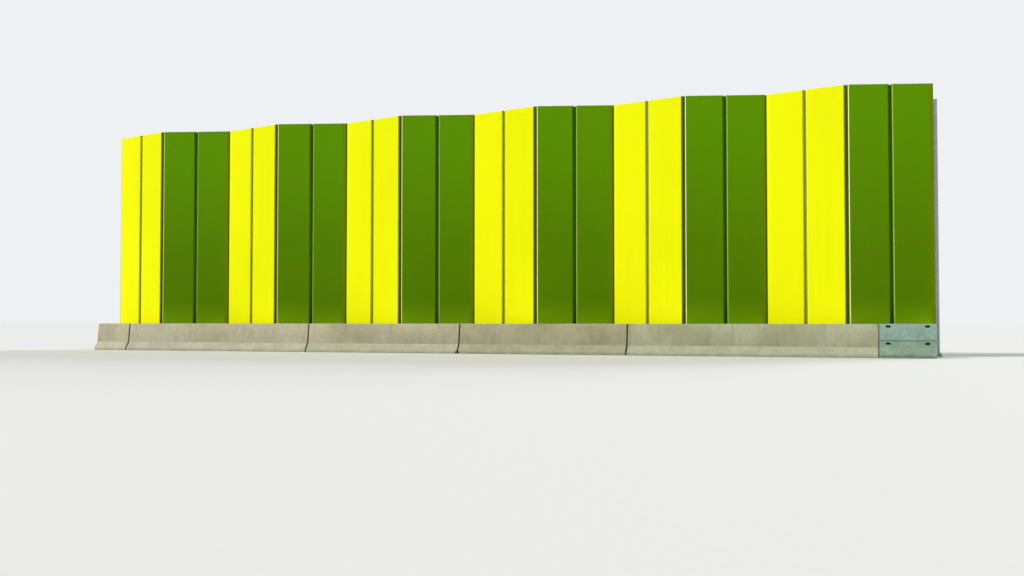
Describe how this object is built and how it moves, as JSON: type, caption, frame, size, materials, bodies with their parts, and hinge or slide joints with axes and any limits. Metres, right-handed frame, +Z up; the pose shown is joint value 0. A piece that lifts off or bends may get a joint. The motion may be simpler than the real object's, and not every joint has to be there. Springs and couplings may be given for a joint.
{
  "type": "folded highway noise wall with safety barrier",
  "caption": "Folded highway noise wall of tall painted slabs on steel posts and rails, with a concrete safety barrier along its foot.",
  "frame": {"origin": "on the ground, at the centre of the underside of the middle post's base plate", "axes": "+X along the wall towards its near end in the picture, +Y away from the road, +Z up; the road side faces -Y"},
  "size_m": [24.91, 1.7964, 6.8],
  "materials": {
    "yellow_panel": "matt yellow paint on precast concrete",
    "green_panel": "matt green paint on precast concrete",
    "galvanised_post": "hot-dip galvanised, dull",
    "galvanised_rail": "hot-dip galvanised, dull",
    "joint_seal": "dark compressed seal",
    "barrier_concrete": "weathered formed concrete",
    "barrier_steel": "dull galvanised plate"
  },
  "bodies": {
    "root": {"yellow_panel_01": "yellow_panel", "yellow_panel_02": "yellow_panel", "yellow_panel_03": "yellow_panel", "yellow_panel_04": "yellow_panel", "yellow_panel_05": "yellow_panel", "yellow_panel_06": "yellow_panel", "yellow_panel_07": "yellow_panel", "yellow_panel_08": "yellow_panel", "yellow_panel_09": "yellow_panel", "yellow_panel_10": "yellow_panel", "yellow_panel_11": "yellow_panel", "yellow_panel_12": "yellow_panel", "green_panel_01": "green_panel", "green_panel_02": "green_panel", "green_panel_03": "green_panel", "green_panel_04": "green_panel", "green_panel_05": "green_panel", "green_panel_06": "green_panel", "green_panel_07": "green_panel", "green_panel_08": "green_panel", "green_panel_09": "green_panel", "green_panel_10": "green_panel", "green_panel_11": "green_panel", "green_panel_12": "green_panel", "valley_post_1": "galvanised_post", "valley_post_2": "galvanised_post", "valley_post_3": "galvanised_post", "valley_post_4": "galvanised_post", "valley_post_5": "galvanised_post", "valley_post_6": "galvanised_post", "valley_post_7": "galvanised_post", "ridge_post_1": "galvanised_post", "ridge_post_2": "galvanised_post", "ridge_post_3": "galvanised_post", "ridge_post_4": "galvanised_post", "ridge_post_5": "galvanised_post", "ridge_post_6": "galvanised_post", "panel_rails": "galvanised_rail", "joint_seals": "joint_seal", "barrier_unit_1": "barrier_concrete", "barrier_unit_2": "barrier_concrete", "barrier_unit_3": "barrier_concrete", "barrier_unit_4": "barrier_concrete", "barrier_unit_5": "barrier_concrete", "barrier_cover": "barrier_steel"}
  },
  "joints": []
}
